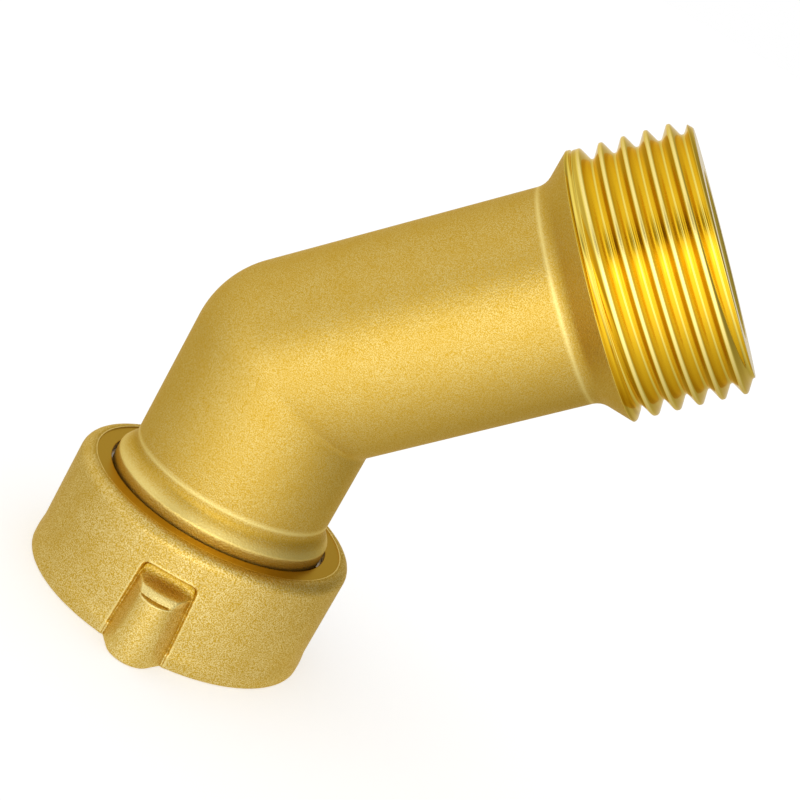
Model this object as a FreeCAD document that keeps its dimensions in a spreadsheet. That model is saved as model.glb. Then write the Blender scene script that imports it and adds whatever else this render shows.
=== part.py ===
import FreeCAD, Part
import math
import os
import re
import Sketcher

# A 45 degree brass hose elbow: a cast body with a male hose thread on its slanted leg, and a swivel
# nut on its upright leg, held by a split ring and sealed by a flat washer. Both threads are shown
# plain: the male one as its blank at the crest, and the nut's as its wall at the crest.
# Millimetres. The origin is the centre of the nut's lower face. Z runs up the nut's axis, and the
# male leg leans from it towards +X.

Vec = FreeCAD.Vector

# Two places closer than this are the same place
SAME_PLACE = 0.01
# Points tested on an edge to see whether it lies in a plane
EDGE_SAMPLES = 5

SIZES = [
    # Cast body
    ("tube_radius", 10.95, "outside of both legs"),
    ("bend_angle", 45, "turn between the two legs, in degrees"),
    ("bend_height", 29.2, "where the two axes meet, above the nut's lower face"),
    ("outlet_reach", 44.1, "from that point to the male end face"),
    ("crease_round", 0.8, "soft inner corner of the cast bend"),
    ("water_radius", 8, "waterway"),
    # Blank of the male hose thread, eleven and a half turns to the inch
    ("thread_radius", 13.495, "crest of the 26.99 mm hose thread"),
    ("thread_length", 11.9, "from the flare's rim to the male end face"),
    ("thread_lead", 1.0, "chamfer at the male end"),
    ("rim_land", 0.35, "flat width of the flare's rim, behind the thread"),
    ("flare_slope", 45, "slope of the flare from the tube, in degrees"),
    ("flare_hollow", 2, "radius of the hollow where the tube turns into the flare"),
    # Collar that the nut turns on
    ("collar_radius", 12, "spigot inside the nut"),
    ("collar_reveal", 0.9, "how far the collar shows above the nut"),
    ("shoulder_rise", 1.6, "slope from the collar in to the tube"),
    ("spigot_depth", 3.2, "how far the spigot enters the nut"),
    # Swivel nut
    ("nut_wall", 2.3, "wall outside the ring's groove, which gives the outside of the nut"),
    ("nut_height", 12.5, "lower face to machined top face"),
    ("nut_round", 1.2, "soft outer top edge, turned in two slopes"),
    ("nut_play", 0.3, "radial gap between the collar and the nut's hole"),
    ("band_height", 1.4, "thicker band round the nut's mouth"),
    ("band_step", 0.15, "how far the band stands out"),
    ("socket_depth", 6.1, "length of the nut's threaded wall"),
    ("socket_inset", 1.246, "how far the nut's threaded wall lies inside the male thread's crest"),
    ("nut_turn", 2.6, "how far the nut is turned from facing forward, in degrees"),
    # Grip slots and lugs
    ("lug_count", 2, "grip lugs round the nut"),
    ("slot_top", 9, "upper edge of the slot, above the nut's lower face"),
    ("slot_width_top", 5.8, "slot's width at its upper edge"),
    ("slot_width_base", 6.8, "slot's width at the nut's lower face"),
    ("slot_depth", 1, "depth of the slot's flat floor"),
    ("slot_round", 0.8, "upper corners of the slot"),
    ("sill_depth", 0.35, "depth of the slot across the mouth's band"),
    ("lug_top", 6.8, "flat upper end of the lug, above the nut's lower face"),
    ("lug_reach", 3, "how far the lug stands out of the nut at its lower end"),
    ("crown_base", 2.5, "radius of the lug's rounded crown at its lower end"),
    ("crown_draft", 0.44, "how much smaller that radius is at the lug's upper end"),
    ("lug_flank", 12.8, "how far each flank of the lug opens towards the nut, in degrees"),
    ("lug_root", 0.3, "how far the lug is rooted below the slot's floor"),
    ("swell_reach", 0.85, "how far the swelling above the lug stands out of the slot's floor"),
    # Flat-wire ring and washer
    ("ring_width", 1.6, "radial width of the retaining ring"),
    ("ring_thickness", 1, "thickness of the retaining ring"),
    ("ring_drop", 1.5, "middle of the ring, below the nut's top face"),
    ("ring_play", 0.1, "gap between the ring and its two grooves"),
    ("ring_gap", 16, "opening of the split ring, in degrees"),
    ("washer_radius", 12.7, "outside of the hose washer"),
    ("washer_thickness", 3, "hose washer"),
    ("washer_play", 0.1, "gap round the washer and above it"),
]

doc = FreeCAD.newDocument("hose_elbow")
sheet = doc.addObject("Spreadsheet::Sheet", "Sizes")
for row, (alias, value, meaning) in enumerate(SIZES, start=1):
    sheet.set("A%d" % row, alias)
    sheet.set("B%d" % row, str(value))
    sheet.set("C%d" % row, meaning)
    sheet.setAlias("B%d" % row, alias)
doc.recompute()

# Heights and radii that several pieces share, each worked out once in the sheet
SHARED = [
    ("collar_top", "nut_height + collar_reveal"),
    ("spigot_end", "nut_height - spigot_depth"),
    ("ring_height", "nut_height - ring_drop"),
    ("hole_radius", "collar_radius + nut_play"),
    ("ring_radius", "collar_radius + nut_play / 2"),
    ("groove_reach", "ring_width / 2 + ring_play"),
    ("groove_half", "ring_thickness / 2 + ring_play"),
    ("nut_radius", "ring_radius + groove_reach + nut_wall"),
    ("rim_start", "outlet_reach - thread_length - rim_land"),
    ("flare_start", "rim_start - ( thread_radius - tube_radius ) / tan( flare_slope )"),
    ("socket_radius", "thread_radius - socket_inset"),
    ("recess_radius", "washer_radius + washer_play"),
    ("washer_top", "spigot_end - washer_play"),
    ("slot_floor", "nut_radius - slot_depth"),
    ("sill_floor", "nut_radius - sill_depth"),
    ("lug_base", "slot_floor - lug_root"),
    ("crown_axis", "nut_radius + lug_reach - crown_base"),
    ("crown_top", "crown_base - crown_draft"),
    ("swell_half", "( crown_top + ( crown_axis - lug_base ) * sin( lug_flank ) ) / cos( lug_flank )"),
    ("swell_crown", "slot_floor + swell_reach"),
]
for row, (alias, formula) in enumerate(SHARED, start=len(SIZES) + 1):
    sheet.set("A%d" % row, alias)
    sheet.set("B%d" % row, "=" + formula)
    sheet.setAlias("B%d" % row, alias)
    doc.recompute()


def size(expression):
    """Value of an expression in the sheet's own names."""
    return float(sheet.evalExpression(expression))


def bind(owner, path, expression):
    """Bind a property to an expression written in the sheet's names."""
    names = [alias for alias, *rest in SIZES + SHARED]
    full = re.sub("[a-z_]+", lambda word: "Sizes." * (word.group() in names) + word.group(), expression)
    owner.setExpression(path, full)


def new_body(label):
    body = doc.addObject("PartDesign::Body", label)
    body.Label = label
    return body


def origin_feature(body, role):
    return next(item for item in body.Origin.OriginFeatures if item.Role == role)


def new_sketch(body, name, role, across="0", up="0", out="0", lean="0"):
    """Sketch on one of the body's origin planes, shifted within and out of it, and leant clockwise."""
    sketch = body.newObject("Sketcher::SketchObject", name)
    sketch.AttachmentSupport = [(origin_feature(body, role), "")]
    sketch.MapMode = "FlatFace"
    turn = FreeCAD.Rotation(Vec(0, 0, -1), size(lean))
    sketch.AttachmentOffset = FreeCAD.Placement(Vec(size(across), size(up), size(out)), turn)
    for path, expression in (("Base.x", across), ("Base.y", up), ("Base.z", out), ("Rotation.Angle", lean)):
        if expression != "0":
            bind(sketch, "AttachmentOffset." + path, expression)
    return sketch


def fix_point(sketch, element, end, across, up):
    """Hold one point of the sketch at (across, up), each an expression in the sheet's names."""
    for kind, axis, expression in (("DistanceX", -2, across), ("DistanceY", -1, up)):
        if expression == "0":
            sketch.addConstraint(Sketcher.Constraint("PointOnObject", element, end, axis))
        else:
            mark = sketch.addConstraint(Sketcher.Constraint(kind, element, end, size(expression)))
            bind(sketch, "Constraints[%d]" % mark, expression)


def draw_outline(sketch, corners, hollow=None, radius="0"):
    """Closed outline of straight lines through corners given as (across, up) expressions. The corner
    numbered hollow, where the outline turns to the right, is rounded to the radius."""
    spots = [Vec(size(across), size(up), 0) for across, up in corners]
    starts, ends = list(spots), spots[1:] + spots[:1]
    if hollow is not None:
        before = (spots[hollow] - spots[hollow - 1]).normalize()
        after = (spots[hollow + 1] - spots[hollow]).normalize()
        half_turn = before.getAngle(after) / 2
        run = size(radius) * math.tan(half_turn)
        ends[hollow - 1] = spots[hollow] - before * run
        starts[hollow] = spots[hollow] + after * run
        middle = spots[hollow] + (after - before).normalize() * size(radius) * (1 / math.cos(half_turn) - 1)
    for start, end in zip(starts, ends):
        sketch.addGeometry(Part.LineSegment(start, end), False)
    for index, (across, up) in enumerate(corners):
        if index != hollow:
            sketch.addConstraint(Sketcher.Constraint("Coincident", (index - 1) % len(corners), 2, index, 1))
            fix_point(sketch, index, 1, across, up)
    if hollow is None:
        return
    arc = sketch.addGeometry(Part.Arc(starts[hollow], middle, ends[hollow - 1]), False)
    sketch.addConstraint(Sketcher.Constraint("Tangent", hollow - 1, 2, arc, 2))
    sketch.addConstraint(Sketcher.Constraint("Tangent", arc, 1, hollow, 1))
    mark = sketch.addConstraint(Sketcher.Constraint("Radius", arc, size(radius)))
    bind(sketch, "Constraints[%d]" % mark, radius)
    hold_corner(sketch, (hollow - 1, hollow), *corners[hollow])


def hold_corner(sketch, lines, across, up):
    """Hold two lines to the corner where they would meet, at (across, up)."""
    corner = sketch.addGeometry(Part.Point(Vec(size(across), size(up), 0)), True)
    fix_point(sketch, corner, 1, across, up)
    for line in lines:
        sketch.addConstraint(Sketcher.Constraint("PointOnObject", corner, 1, line))


def draw_circle(sketch, across, up, radius):
    circle = Part.Circle(Vec(size(across), size(up), 0), Vec(0, 0, 1), size(radius))
    index = sketch.addGeometry(circle, False)
    fix_point(sketch, index, 3, across, up)
    mark = sketch.addConstraint(Sketcher.Constraint("Radius", index, size(radius)))
    bind(sketch, "Constraints[%d]" % mark, radius)


def turn_about(body, kind, name, sketch, angle="360"):
    """Revolution or Groove of a sketch about its own upright axis."""
    feature = body.newObject("PartDesign::" + kind, name)
    feature.Profile = sketch
    feature.ReferenceAxis = (sketch, ["V_Axis"])
    feature.Angle = size(angle)
    if angle != "360":
        bind(feature, "Angle", angle)
    doc.recompute()
    return feature


def edges_where(feature, test):
    """Names of the edges whose curve passes the test."""
    edges = enumerate(feature.Shape.Edges, start=1)
    return ["Edge%d" % number for number, edge in edges if not edge.Degenerated and test(edge)]


def dress(body, kind, name, picked, path, expression):
    """Fillet or Chamfer on edges of the body's present tip."""
    feature = body.newObject("PartDesign::" + kind, name)
    feature.Base = (picked[0], picked[1])
    setattr(feature, path, size(expression))
    bind(feature, path, expression)
    doc.recompute()
    return feature


def lies_in_plane(edge, point, normal):
    """True for an edge whose points all lie in the plane."""
    spots = edge.discretize(EDGE_SAMPLES)
    return all(abs((spot - point).dot(normal)) < SAME_PLACE for spot in spots)


def draw_core_path(sketch):
    """Upright run and slanted run, which meet where the two legs' axes meet."""
    spots = [
        ("0", "spigot_end"),
        ("0", "bend_height"),
        ("outlet_reach * sin( bend_angle )", "bend_height + outlet_reach * cos( bend_angle )"),
    ]
    for index, (start, finish) in enumerate(zip(spots, spots[1:])):
        ends = [Vec(size(across), size(up), 0) for across, up in (start, finish)]
        sketch.addGeometry(Part.LineSegment(*ends), False)
        fix_point(sketch, index, 1, *start)
    sketch.addConstraint(Sketcher.Constraint("Coincident", 0, 2, 1, 1))
    fix_point(sketch, 1, 2, *spots[-1])


def draw_slot(sketch, foot):
    """Drafted slot from foot up to its upper edge, with rounded upper corners."""
    draft = "( slot_width_base - slot_width_top ) / 2 / slot_top"
    half_foot = "( slot_width_base / 2 - " + foot + " * " + draft + " )"
    low_right = Vec(size(half_foot), size(foot), 0)
    top_right = Vec(size("slot_width_top / 2"), size("slot_top"), 0)
    radius = size("slot_round")
    side = (top_right - low_right).normalize()
    turn = math.pi / 2 - math.atan2(side.x, side.y)
    run = radius * math.tan(turn / 2)
    side_end = top_right - side * run
    top_start = top_right - Vec(run, 0, 0)
    centre = top_start - Vec(0, radius, 0)
    middle = centre + (top_right - centre).normalize() * radius

    def mirrored(spot):
        return Vec(-spot.x, spot.y, 0)

    sketch.addGeometry(Part.LineSegment(mirrored(low_right), low_right), False)
    sketch.addGeometry(Part.LineSegment(low_right, side_end), False)
    sketch.addGeometry(Part.Arc(side_end, middle, top_start), False)
    sketch.addGeometry(Part.LineSegment(top_start, mirrored(top_start)), False)
    sketch.addGeometry(Part.Arc(mirrored(top_start), mirrored(middle), mirrored(side_end)), False)
    sketch.addGeometry(Part.LineSegment(mirrored(side_end), mirrored(low_right)), False)
    for first, second in ((0, 1), (5, 0)):
        sketch.addConstraint(Sketcher.Constraint("Coincident", first, 2, second, 1))
    for first, second in ((1, 2), (2, 3), (3, 4), (4, 5)):
        sketch.addConstraint(Sketcher.Constraint("Tangent", first, 2, second, 1))
    fix_point(sketch, 0, 1, "-1 * " + half_foot, foot)
    fix_point(sketch, 1, 1, half_foot, foot)
    # The corners where the sides would meet the upper edge hold the draft
    for element, half in ((1, "slot_width_top / 2"), (5, "-1 * slot_width_top / 2")):
        hold_corner(sketch, (element, 3), half, "slot_top")
    for arc in (2, 4):
        mark = sketch.addConstraint(Sketcher.Constraint("Radius", arc, radius))
        bind(sketch, "Constraints[%d]" % mark, "slot_round")


def draw_lug_root(sketch, radius):
    """Section of the lug behind its crown. Each flank touches the crown of that radius."""
    touch = radius + " * cos( lug_flank )"
    front = "-1 * ( crown_axis + " + radius + " * sin( lug_flank ) )"
    half = "( " + radius + " + ( crown_axis - lug_base ) * sin( lug_flank ) ) / cos( lug_flank )"
    draw_outline(sketch, [
        (half, "-1 * lug_base"),
        ("-1 * " + half, "-1 * lug_base"),
        ("-1 * " + touch, front),
        (touch, front),
    ])


def draw_swell_section(sketch):
    """Back line and the one shallow arc of the swelling above the lug."""
    half, back, tip = size("swell_half"), -size("lug_base"), -size("swell_crown")
    sketch.addGeometry(Part.LineSegment(Vec(half, back, 0), Vec(-half, back, 0)), False)
    sketch.addGeometry(Part.Arc(Vec(-half, back, 0), Vec(0, tip, 0), Vec(half, back, 0)), False)
    sketch.addConstraint(Sketcher.Constraint("Coincident", 0, 2, 1, 1))
    sketch.addConstraint(Sketcher.Constraint("Coincident", 1, 2, 0, 1))
    fix_point(sketch, 0, 1, "swell_half", "-1 * lug_base")
    fix_point(sketch, 0, 2, "-1 * swell_half", "-1 * lug_base")
    depth = "( swell_crown - lug_base )"
    radius = "( swell_half ^ 2 / 2 / " + depth + " + " + depth + " / 2 )"
    mark = sketch.addConstraint(Sketcher.Constraint("Radius", 1, size(radius)))
    bind(sketch, "Constraints[%d]" % mark, radius)


def cut_outwards(body, name, sketch):
    """Cut from the sketch's plane out past the front of the piece."""
    pocket = body.newObject("PartDesign::Pocket", name)
    pocket.Profile = sketch
    pocket.Reversed = True
    bind(pocket, "Length", "nut_radius")
    doc.recompute()
    return pocket


def along_outlet(distance):
    """Point on the slanted leg's axis, that far from where the axes meet."""
    tilt = FreeCAD.Rotation(Vec(0, 1, 0), size("bend_angle"))
    return Vec(0, 0, size("bend_height")) + tilt.multVec(Vec(0, 0, distance))


def make_elbow_body():
    body = new_body("elbow_body")

    # Upright leg: spigot and collar inside the nut, shoulder, then plain tube up to the bend
    upright = new_sketch(body, "UprightProfile", "XZ_Plane")
    draw_outline(upright, [
        ("0", "spigot_end"),
        ("collar_radius", "spigot_end"),
        ("collar_radius", "collar_top"),
        ("tube_radius", "collar_top + shoulder_rise"),
        ("tube_radius", "bend_height"),
        ("0", "bend_height"),
    ])
    turn_about(body, "Revolution", "UprightLeg", upright)

    # The outside of the bend is a ball of the tube's own radius
    ball = body.newObject("PartDesign::AdditiveSphere", "BendBall")
    ball.AttachmentSupport = [(origin_feature(body, "XY_Plane"), "")]
    ball.MapMode = "FlatFace"
    bind(ball, "Radius", "tube_radius")
    bind(ball, "AttachmentOffset.Base.z", "bend_height")
    doc.recompute()

    # Slanted leg: tube, flare with its narrow rim, then the blank of the male thread
    slanted = new_sketch(body, "SlantedProfile", "XZ_Plane", up="bend_height", lean="bend_angle")
    draw_outline(slanted, [
        ("0", "0"),
        ("tube_radius", "0"),
        ("tube_radius", "flare_start"),
        ("thread_radius", "rim_start"),
        ("thread_radius", "outlet_reach - thread_lead"),
        ("thread_radius - thread_lead", "outlet_reach"),
        ("0", "outlet_reach"),
    ], hollow=2, radius="flare_hollow")
    leg = turn_about(body, "Revolution", "SlantedLeg", slanted)

    # Soft inner crease of the cast bend
    mitre = FreeCAD.Rotation(Vec(0, 1, 0), size("bend_angle") / 2).multVec(Vec(0, 0, 1))
    crease_edges = edges_where(leg, lambda edge: lies_in_plane(edge, along_outlet(0), mitre))
    dress(body, "Fillet", "CreaseFillet", (leg, crease_edges), "Radius", "crease_round")

    # Waterway: two straight round runs that meet at the bend, open at both ends
    core = new_sketch(body, "CoreSection", "XY_Plane", out="spigot_end")
    draw_circle(core, "0", "0", "water_radius")
    path = new_sketch(body, "CorePath", "XZ_Plane")
    draw_core_path(path)
    waterway = body.newObject("PartDesign::SubtractivePipe", "Waterway")
    waterway.Profile = core
    waterway.Spine = (path, ["Edge1", "Edge2"])
    waterway.Transition = "Right corner"
    doc.recompute()

    # Groove in the spigot for the retaining ring
    groove = new_sketch(body, "SpigotGrooveProfile", "XZ_Plane")
    draw_outline(groove, [
        ("ring_radius - groove_reach", "ring_height - groove_half"),
        ("hole_radius", "ring_height - groove_half"),
        ("hole_radius", "ring_height + groove_half"),
        ("ring_radius - groove_reach", "ring_height + groove_half"),
    ])
    turn_about(body, "Groove", "SpigotGroove", groove)
    return body


def make_swivel_nut():
    body = new_body("swivel_nut")

    # Turned ring: thicker band at the mouth, threaded wall, washer recess, ring groove and top hole
    section = new_sketch(body, "NutProfile", "XZ_Plane")
    draw_outline(section, [
        ("socket_radius", "0"),
        ("nut_radius + band_step", "0"),
        ("nut_radius + band_step", "band_height"),
        ("nut_radius", "band_height + band_step"),
        ("nut_radius", "nut_height - nut_round"),
        ("nut_radius - nut_round * ( 1 - cos( 45 ) )", "nut_height - nut_round * ( 1 - sin( 45 ) )"),
        ("nut_radius - nut_round", "nut_height"),
        ("hole_radius", "nut_height"),
        ("hole_radius", "ring_height + groove_half"),
        ("ring_radius + groove_reach", "ring_height + groove_half"),
        ("ring_radius + groove_reach", "ring_height - groove_half"),
        ("hole_radius", "ring_height - groove_half"),
        ("hole_radius", "spigot_end"),
        ("recess_radius", "spigot_end"),
        ("recess_radius", "socket_depth"),
        ("socket_radius", "socket_depth"),
    ])
    turn_about(body, "Revolution", "NutRing", section)

    # Front slot, cut shallow across the mouth's band and deep above it
    sill = new_sketch(body, "SillOutline", "XZ_Plane", out="sill_floor")
    draw_slot(sill, "0")
    slot = new_sketch(body, "SlotOutline", "XZ_Plane", out="slot_floor")
    draw_slot(slot, "band_height")
    cuts = [cut_outwards(body, "SillCut", sill), cut_outwards(body, "SlotCut", slot)]

    # Lug in the slot, drafted towards its flat upper end: a conical crown and the root behind it
    crown = body.newObject("PartDesign::AdditiveCone", "LugCrown")
    crown.AttachmentSupport = [(origin_feature(body, "XY_Plane"), "")]
    crown.MapMode = "FlatFace"
    for path, expression in (("Radius1", "crown_base"), ("Radius2", "crown_top"), ("Height", "lug_top"),
                             ("AttachmentOffset.Base.y", "-1 * crown_axis")):
        bind(crown, path, expression)
    doc.recompute()

    low_end = new_sketch(body, "LugLowerEnd", "XY_Plane")
    draw_lug_root(low_end, "crown_base")
    high_end = new_sketch(body, "LugUpperEnd", "XY_Plane", out="lug_top")
    draw_lug_root(high_end, "crown_top")
    lug = body.newObject("PartDesign::AdditiveLoft", "LugRoot")
    lug.Profile = low_end
    lug.Sections = [high_end]
    lug.Ruled = True
    doc.recompute()

    # Low swelling above the lug
    swell_section = new_sketch(body, "SwellSection", "XY_Plane", out="lug_top")
    draw_swell_section(swell_section)
    swell = body.newObject("PartDesign::Pad", "Swell")
    swell.Profile = swell_section
    bind(swell, "Length", "slot_top - lug_top")
    doc.recompute()

    pattern = body.newObject("PartDesign::PolarPattern", "LugPattern")
    pattern.Originals = cuts + [crown, lug, swell]
    pattern.Axis = (origin_feature(body, "Z_Axis"), [""])
    pattern.Angle = 360
    bind(pattern, "Occurrences", "lug_count")
    body.Tip = pattern
    body.Placement = FreeCAD.Placement(Vec(), FreeCAD.Rotation(Vec(0, 0, 1), size("nut_turn")))
    bind(body, "Placement.Rotation.Angle", "nut_turn")
    doc.recompute()
    return body


def make_retaining_ring():
    """Split flat-wire ring, half in the spigot's groove and half in the nut's."""
    body = new_body("retaining_ring")
    wire = new_sketch(body, "WireSection", "XZ_Plane")
    draw_outline(wire, [
        ("ring_radius - ring_width / 2", "ring_height - ring_thickness / 2"),
        ("ring_radius + ring_width / 2", "ring_height - ring_thickness / 2"),
        ("ring_radius + ring_width / 2", "ring_height + ring_thickness / 2"),
        ("ring_radius - ring_width / 2", "ring_height + ring_thickness / 2"),
    ])
    turn_about(body, "Revolution", "Wire", wire, "360 - ring_gap")
    return body


def make_hose_washer():
    """Flat washer between the spigot's end and the mating male thread."""
    body = new_body("hose_washer")
    face = new_sketch(body, "WasherFace", "XY_Plane", out="washer_top - washer_thickness")
    draw_circle(face, "0", "0", "washer_radius")
    draw_circle(face, "0", "0", "water_radius")
    pad = body.newObject("PartDesign::Pad", "Washer")
    pad.Profile = face
    bind(pad, "Length", "washer_thickness")
    doc.recompute()
    return body


def check_and_write(bodies):
    for item in doc.Objects:
        if "Invalid" in item.State or "Error" in item.State:
            raise RuntimeError("%s failed: %s" % (item.Name, item.State))
    os.makedirs("parts", exist_ok=True)
    for body in bodies:
        if body.Shape.isNull() or not body.Shape.isValid() or len(body.Shape.Solids) != 1:
            raise RuntimeError("%s is not one valid solid" % body.Label)
        body.Shape.exportStep("parts/%s.step" % body.Label)
        print("%s: %.1f cubic mm" % (body.Label, body.Shape.Volume))


check_and_write([make_elbow_body(), make_swivel_nut(), make_retaining_ring(), make_hose_washer()])
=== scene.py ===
import math

import bpy
import numpy as np
from mathutils import Matrix, Vector


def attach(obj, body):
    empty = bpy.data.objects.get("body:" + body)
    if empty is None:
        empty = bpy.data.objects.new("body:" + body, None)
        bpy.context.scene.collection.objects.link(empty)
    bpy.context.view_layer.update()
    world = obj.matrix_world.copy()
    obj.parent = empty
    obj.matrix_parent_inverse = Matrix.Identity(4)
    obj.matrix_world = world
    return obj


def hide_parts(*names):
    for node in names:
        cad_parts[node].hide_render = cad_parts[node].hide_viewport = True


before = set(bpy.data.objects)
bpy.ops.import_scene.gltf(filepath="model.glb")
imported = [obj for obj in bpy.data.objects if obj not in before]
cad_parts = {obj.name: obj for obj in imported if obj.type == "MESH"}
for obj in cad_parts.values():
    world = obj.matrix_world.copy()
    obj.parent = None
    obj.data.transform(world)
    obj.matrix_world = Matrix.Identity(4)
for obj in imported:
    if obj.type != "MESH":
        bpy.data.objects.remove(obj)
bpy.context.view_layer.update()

# The shapes are worked out in millimetres and put into the scene in metres.
MM = 0.001

# Cast elbow. Both legs are tubes of one radius, and their axes meet at BEND_HEIGHT.
BEND = math.radians(45)
BEND_HEIGHT = 29.2
REACH = 44.1
TUBE = 10.95
TUBE_BEND = 0.9
BORE = 8.0
BORE_BEND = 3.0
BORE_SHINE = 0.6
MOUTH_CHAMFER = 0.35
MOUTH_CORNER = 0.1
MOUTH_DEPTH = 1.0
FINE_CORNER = 0.05

# Spigot with its groove for the ring, then the collar, which slopes back to the tube
SPIGOT = 12.0
SPIGOT_END = 9.3
SPIGOT_CORNER = 0.15
SPIGOT_CHAMFER = 0.3
GROOVE = 11.25
GROOVE_LOW = 10.4
GROOVE_HIGH = 11.6
TURNED_TOP = 11.7
COLLAR_TOP = 13.45
COLLAR_CORNER = 0.45
SLOPE_TOP = 14.9
SLOPE_CORNER = 1.3
UPRIGHT_START = 17.0

# Flare up to a short rim, and the notch between the rim and the thread, along the other leg
FLARE_START = 26.7
FLARE_HOLLOW = 2.2
RIM = 13.6
RIM_START = 31.85
RIM_END = 32.18
RIM_CORNER = 0.08
TURNED_START = RIM_START - 0.02
NOTCH = 32.32
NOTCH_DEPTH = 0.30
NOTCH_END = 32.50
THREAD_START = 32.56

# Male hose thread: 60 degree flanks and a flat crest, cut in over FADE_TURN degrees at its start
PITCH = 2.209
FLANK_SLOPE = math.tan(math.radians(30))
CREST = 13.495
CREST_FLAT = 0.36
CREST_ROUND = 0.16
DEPTH = 1.32
ROOT_ROUND = 0.22
FIRST_CREST = 33.03
FIRST_ROOT = 31.925
FADE_TURN = 200.0
FADE_POWER = 0.6
CUT_FROM = 31.9
CUT_SLACK = 0.1
END_CHAMFER = 1.0
END_CHAMFER_ROUND = 0.15

# Rows and columns of the elbow's mesh
ELBOW_COLUMNS = 216
COLLAR_ROW = 0.25
FLARE_ROW = 0.2
THREAD_ROW = 0.056
FIRST_THREAD_ROW = 32.60
END_GAP = 0.02
END_ROWS = 6
STRAIGHT_ROWS = 9
TUBE_BEND_ROWS = 29
BORE_BEND_ROWS = 17
ROW_GAP = 0.2

# Painted light of the elbow. A line round a leg has its strength, its middle and its width, and is pale
# above 0 and dark below 0: pale lines are painted highlights and dark ones painted shade. On the collar's
# shoulder two painted highlight lines lie round a painted shade band; the flare has a painted highlight in
# its hollow, painted shade lines at its rim and in the notch, and painted shade over its face. The thread's
# crest carries a painted highlight and its flanks painted shade. The near flank of the thread faces the nut.
COLLAR_LINES = ((0.5, 13.65, 0.5), (-0.6, 14.95, 0.35), (0.7, 15.85, 0.22))
FLARE_LINES = ((0.6, 28.45, 0.2), (-0.9, 31.98, 0.10), (-1.0, 32.42, 0.09))
FLARE_SHADE = 0.35
FLARE_SHADE_SPAN = (28.8, 29.3, 31.6, 31.8)
CREST_HIGHLIGHT = 0.85
CREST_HIGHLIGHT_HALF = (0.06, 0.19)
NEAR_FLANK_SHADE = 0.75
NEAR_FLANK_SPAN = (0.18, 0.28, 0.50, 0.72)
FAR_FLANK_SHADE = 0.40
FAR_FLANK_SPAN = (0.18, 0.28, 0.48, 0.68)

# Swivel nut
NUT = 15.35
NUT_HEIGHT = 12.5
NUT_TURN = math.radians(3.4)
SWELL = 0.15
SWELL_TOP = 2.6
SWELL_FULL = 0.9
FOOT_ROUND = 0.22
FOOT_LEVEL = 0.25
FOOT_SHINE = 0.8
EDGE_ROUND = 1.2
EDGE_START = 10.9
EDGE_TOP = NUT_HEIGHT - 0.04
FACE = NUT_HEIGHT - 0.16
FACE_EDGE = 13.97
FACE_CORNER = 0.03
FACE_SLANT = 0.04
TURNED_EDGE = 13.96
HOLE = 12.3
HOLE_CORNER = 0.1
RING_SEAT = 13.05
RECESS = 12.8

# Female thread, cut outwards from the wall at its crest
SOCKET = 12.249
SOCKET_DEPTH = 6.1
SOCKET_MOUTH = 0.5
SOCKET_STEP = 0.3
SOCKET_CUT = 1.18
SOCKET_FLAT = 0.15
SOCKET_FADE = (1.0, 0.2)
SOCKET_ROW = 0.13
SOCKET_FIRST = 0.1
SOCKET_LAST = 0.05

# Slots of the nut, each with a sill at its foot and a pocket behind its lug
SLOT_TOP = 9.0
SLOT_HALF_TOP = 2.9
SLOT_HALF_BASE = 3.4
SLOT_CORNER = 0.6
SLOT_FLOOR = 14.35
SILL_FLOOR = 15.0
SILL_TOP = 1.5
POCKET_REACH = 14.5
RIM_LIP = 0.10
RIM_LIP_WIDTH = 0.24

# Lug: a round crown with drafted flanks, rolled over at the top from its lip to its back
CROWN_AXIS = 15.85
CROWN_BASE = 2.5
CROWN_DRAFT = 0.44
CROWN_DRAFT_RISE = 6.8
LUG_FLANK = math.radians(27)
LUG_TOP = 6.72
LUG_BACK = 7.55
LUG_LIP_REACH = 17.4
LUG_BACK_REACH = 16.75
LUG_BACK_FALL = 0.32
LUG_ROLL_POWER = 1.3
LUG_ROLL_SIDES = 0.9
LIP_GROOVE = 0.30
LIP_LINE = LUG_TOP + 0.03
LIP_WIDTH = 0.05
LIP_SHIFT = 0.1
LIP_HALF = (1.35, 1.75)

# Table of the nut's skin beside a slot, how far its cast edges are softened, and the passes that
# find the skin's radius in a column
SKIN_STEP = 0.05
SKIN_LOW = -0.4
SKIN_TOP = 10.0
SKIN_SIDE = 4.6
CAST_SOFT = 0.09
CREASE_FIND_SOFT = 0.22
SKIN_PASSES = 12
LAST_CELL = 1.001

# Columns of the nut's mesh, close together within FINE_SIDE of a slot's middle, and its rows.
# Each span of rows has its start, its end and its spacing. Three rows lie at radii of their own.
FINE_SIDE = 4.4
FINE_LIMIT = 4.41
FINE_BLEND = 3.9
FINE_COLUMNS = 112
COARSE_COLUMNS = 66
SKIN_ROWS = ((0.3, 2.0, 0.07), (2.0, 6.2, 0.3), (6.2, 7.98, 0.035), (8.0, 9.48, 0.065), (9.5, 10.9, 0.3))
FOOT_ROWS = 7
FOOT_ROUND_ROWS = 6
TOP_ROW = 0.5
OUTER_ROW = 14.12
INNER_ROW = 14.05
FACE_ROW = 13.2

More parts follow.
